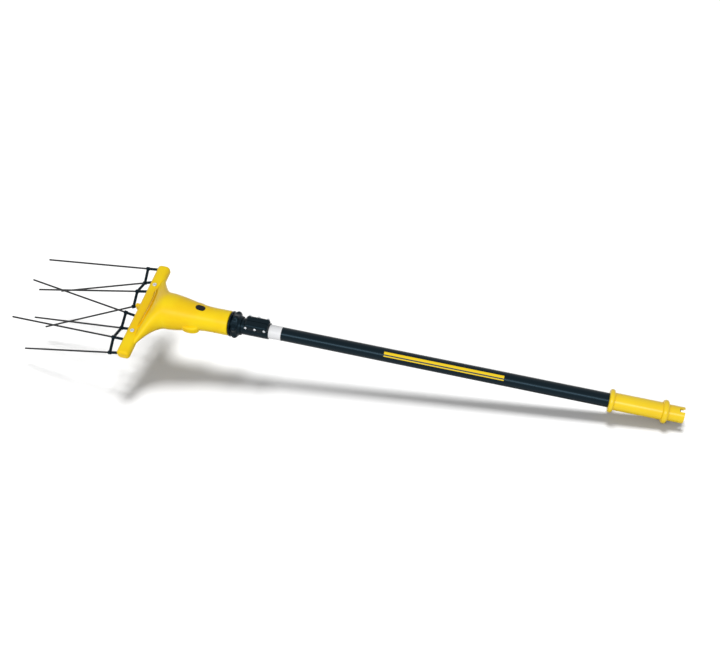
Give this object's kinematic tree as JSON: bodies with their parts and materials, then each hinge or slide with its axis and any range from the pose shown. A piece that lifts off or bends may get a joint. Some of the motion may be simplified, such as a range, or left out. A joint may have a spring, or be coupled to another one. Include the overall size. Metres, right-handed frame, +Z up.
{
  "type": "electric olive harvester",
  "caption": "Long-pole electric olive harvester: a T-shaped yellow head swings two combs of thin black tines against each other, on a dark straight pole with a yellow rear handle.",
  "frame": {"origin": "centre of the power inlet's mouth, at the rear end of the handle, on the pole's axis", "axes": "+X along the pole from the comb head to the handle and out of the inlet, +Y across the T bar, +Z up"},
  "size_m": [1.686, 0.294, 0.196],
  "materials": {
    "housing_yellow": "moulded, semi-gloss",
    "handle_yellow": "moulded, glossy",
    "black_plastic": "moulded, satin",
    "comb_black": "glass-filled nylon, satin",
    "tine_carbon": "carbon fibre rod, satin",
    "pole_paint": "tube with dark blue-black satin paint",
    "label_white": "blank film",
    "badge_dark": "blank plate, satin",
    "screw_steel": "zinc plated",
    "machined_steel": "machined",
    "bronze": "machined",
    "plate_alloy": "machined",
    "motor_paint": "satin paint",
    "motor_cap_plastic": "moulded",
    "magnet_ferrite": "sintered",
    "brush_carbon": "pressed carbon",
    "lead_rubber": "rubber sheath"
  },
  "bodies": {
    "harvester": {"upper_housing": "housing_yellow", "lower_housing": "housing_yellow", "grip_sleeve": "handle_yellow", "handle_end_cap": "handle_yellow", "pole_clamp": "black_plastic", "pole_tube": "pole_paint", "label_band": "label_white", "blank_badge": "badge_dark", "housing_screws": "screw_steel", "arm_screws": "screw_steel", "clamp_screws": "screw_steel", "clamp_nuts": "screw_steel", "motor_screws": "screw_steel", "crank_bearing_front": "machined_steel", "crank_bearing_rear": "machined_steel", "motor_bearing_front": "machined_steel", "motor_bearing_rear": "machined_steel", "inner_bush_a": "bronze", "inner_bush_b": "bronze", "outer_bush_a": "bronze", "outer_bush_b": "bronze", "contact_pins": "bronze", "crank_plate": "plate_alloy", "motor_plate": "plate_alloy", "plate_spacers": "plate_alloy", "head_spigot": "plate_alloy", "motor_can": "motor_paint", "motor_end_cap": "motor_cap_plastic", "inlet_socket": "motor_cap_plastic", "motor_magnets": "magnet_ferrite", "motor_brushes": "brush_carbon", "power_lead": "lead_rubber"},
    "rotor": {"motor_shaft": "machined_steel", "motor_armature": "machined_steel", "motor_commutator": "bronze", "motor_pinion": "bronze"},
    "crank": {"crankshaft": "machined_steel", "front_roller": "machined_steel", "rear_roller": "machined_steel", "drive_gear": "machined_steel"},
    "comb_a": {"comb_shaft_a": "machined_steel", "comb_bar_a": "comb_black", "yoke_a": "comb_black", "yoke_screws_a": "screw_steel", "tine_brace_a": "comb_black", "tine_1": "tine_carbon", "tine_2": "tine_carbon", "tine_3": "tine_carbon", "tine_4": "tine_carbon"},
    "comb_b": {"comb_shaft_b": "machined_steel", "comb_bar_b": "comb_black", "yoke_b": "comb_black", "yoke_screws_b": "screw_steel", "tine_brace_b": "comb_black", "tine_5": "tine_carbon", "tine_6": "tine_carbon", "tine_7": "tine_carbon", "tine_8": "tine_carbon"},
    "coupling": {"coupling_ring": "black_plastic"}
  },
  "joints": [
    {"name": "crank_turn", "type": "hinge", "parent": "harvester", "child": "crank", "pos_m": [-1.263, 0, -0.02], "axis": [1, 0, 0], "range_deg": [-90, 90]},
    {"name": "motor_spin", "type": "hinge", "parent": "harvester", "child": "rotor", "pos_m": [-1.188, 0, 0], "axis": [1, 0, 0], "range_deg": [-270, 270]},
    {"name": "comb_a_swing", "type": "hinge", "parent": "harvester", "child": "comb_a", "pos_m": [-1.349, 0.08, -0.02], "axis": [0, 1, 0], "range_deg": [-7, 7]},
    {"name": "comb_b_swing", "type": "hinge", "parent": "harvester", "child": "comb_b", "pos_m": [-1.349, -0.08, -0.02], "axis": [0, 1, 0], "range_deg": [-7, 7]},
    {"name": "coupling_turn", "type": "hinge", "parent": "harvester", "child": "coupling", "pos_m": [-1.097, 0, 0], "axis": [1, 0, 0], "range_deg": [0, 60]}
  ],
  "couplings": [
    {"joint": "motor_spin", "follows": "crank_turn", "ratio": -3},
    {"joint": "comb_a_swing", "follows": "crank_turn", "ratio": -0.07777},
    {"joint": "comb_b_swing", "follows": "crank_turn", "ratio": 0.07777}
  ]
}
